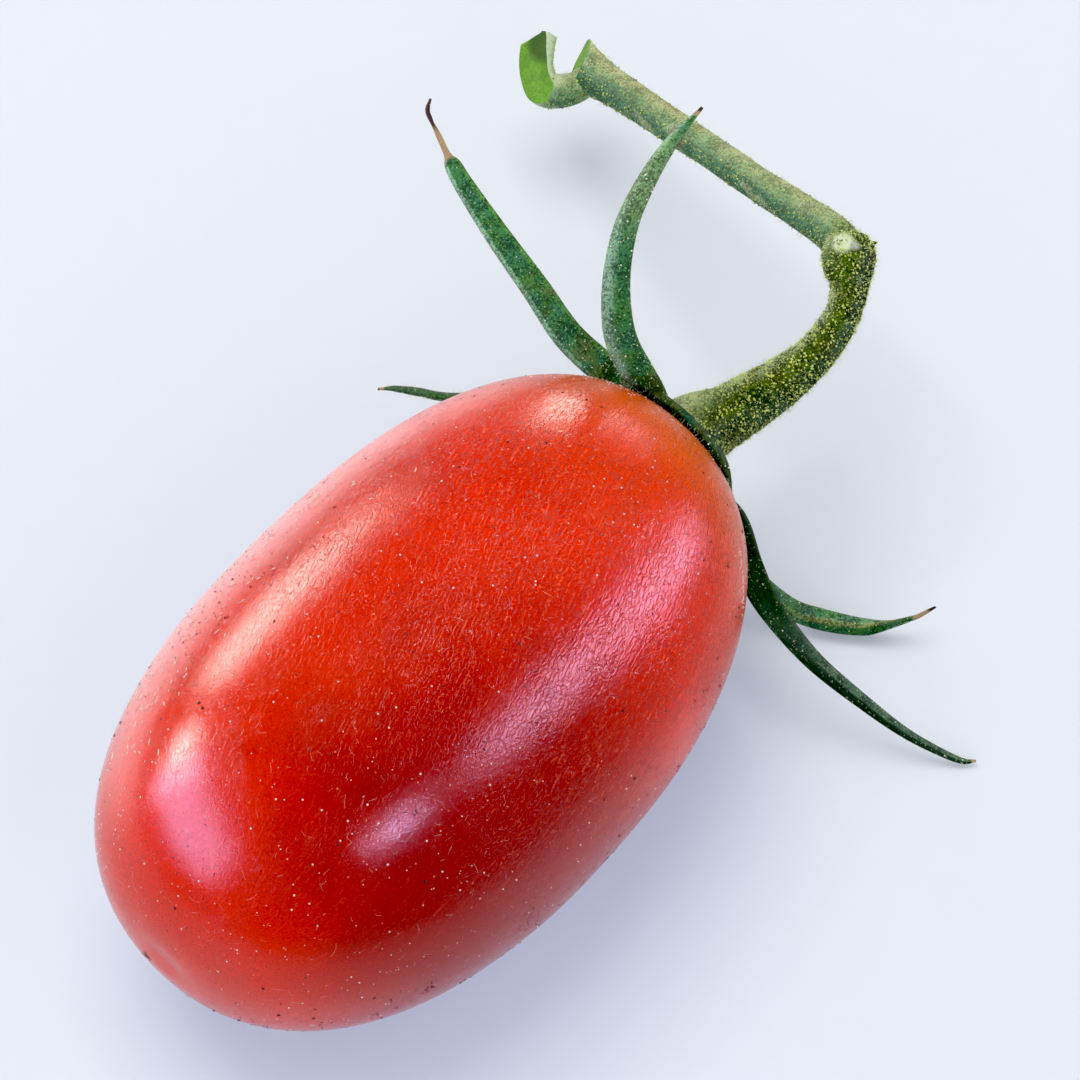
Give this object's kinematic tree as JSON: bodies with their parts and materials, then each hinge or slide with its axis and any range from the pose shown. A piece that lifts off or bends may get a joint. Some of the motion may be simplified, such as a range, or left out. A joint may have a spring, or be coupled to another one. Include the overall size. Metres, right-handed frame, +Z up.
{
  "type": "plum tomato",
  "caption": "Mini plum tomato lying on its side, with a narrow-sepalled green calyx, a curved knuckled stalk and a forked cut end.",
  "frame": {"origin": "middle of the flat spot that the fruit rests on", "axes": "+X along the fruit's axis, from the blossom end to the stalk; +Z up from the surface; +Y level, to the left when looking from the blossom end towards the stalk"},
  "size_m": [0.0664, 0.0513, 0.0308],
  "materials": {
    "red_skin": "taut glossy tomato skin with fine crinkles and pale specks",
    "sepal_green": "matt dark green leaf with pale gland dots, lighter edges and dried brown tips",
    "stalk_green": "matt olive green stem with short pale hairs and a fresh bright green cut"
  },
  "bodies": {
    "root": {"fruit": "red_skin", "calyx": "sepal_green", "stalk": "stalk_green"}
  },
  "joints": []
}
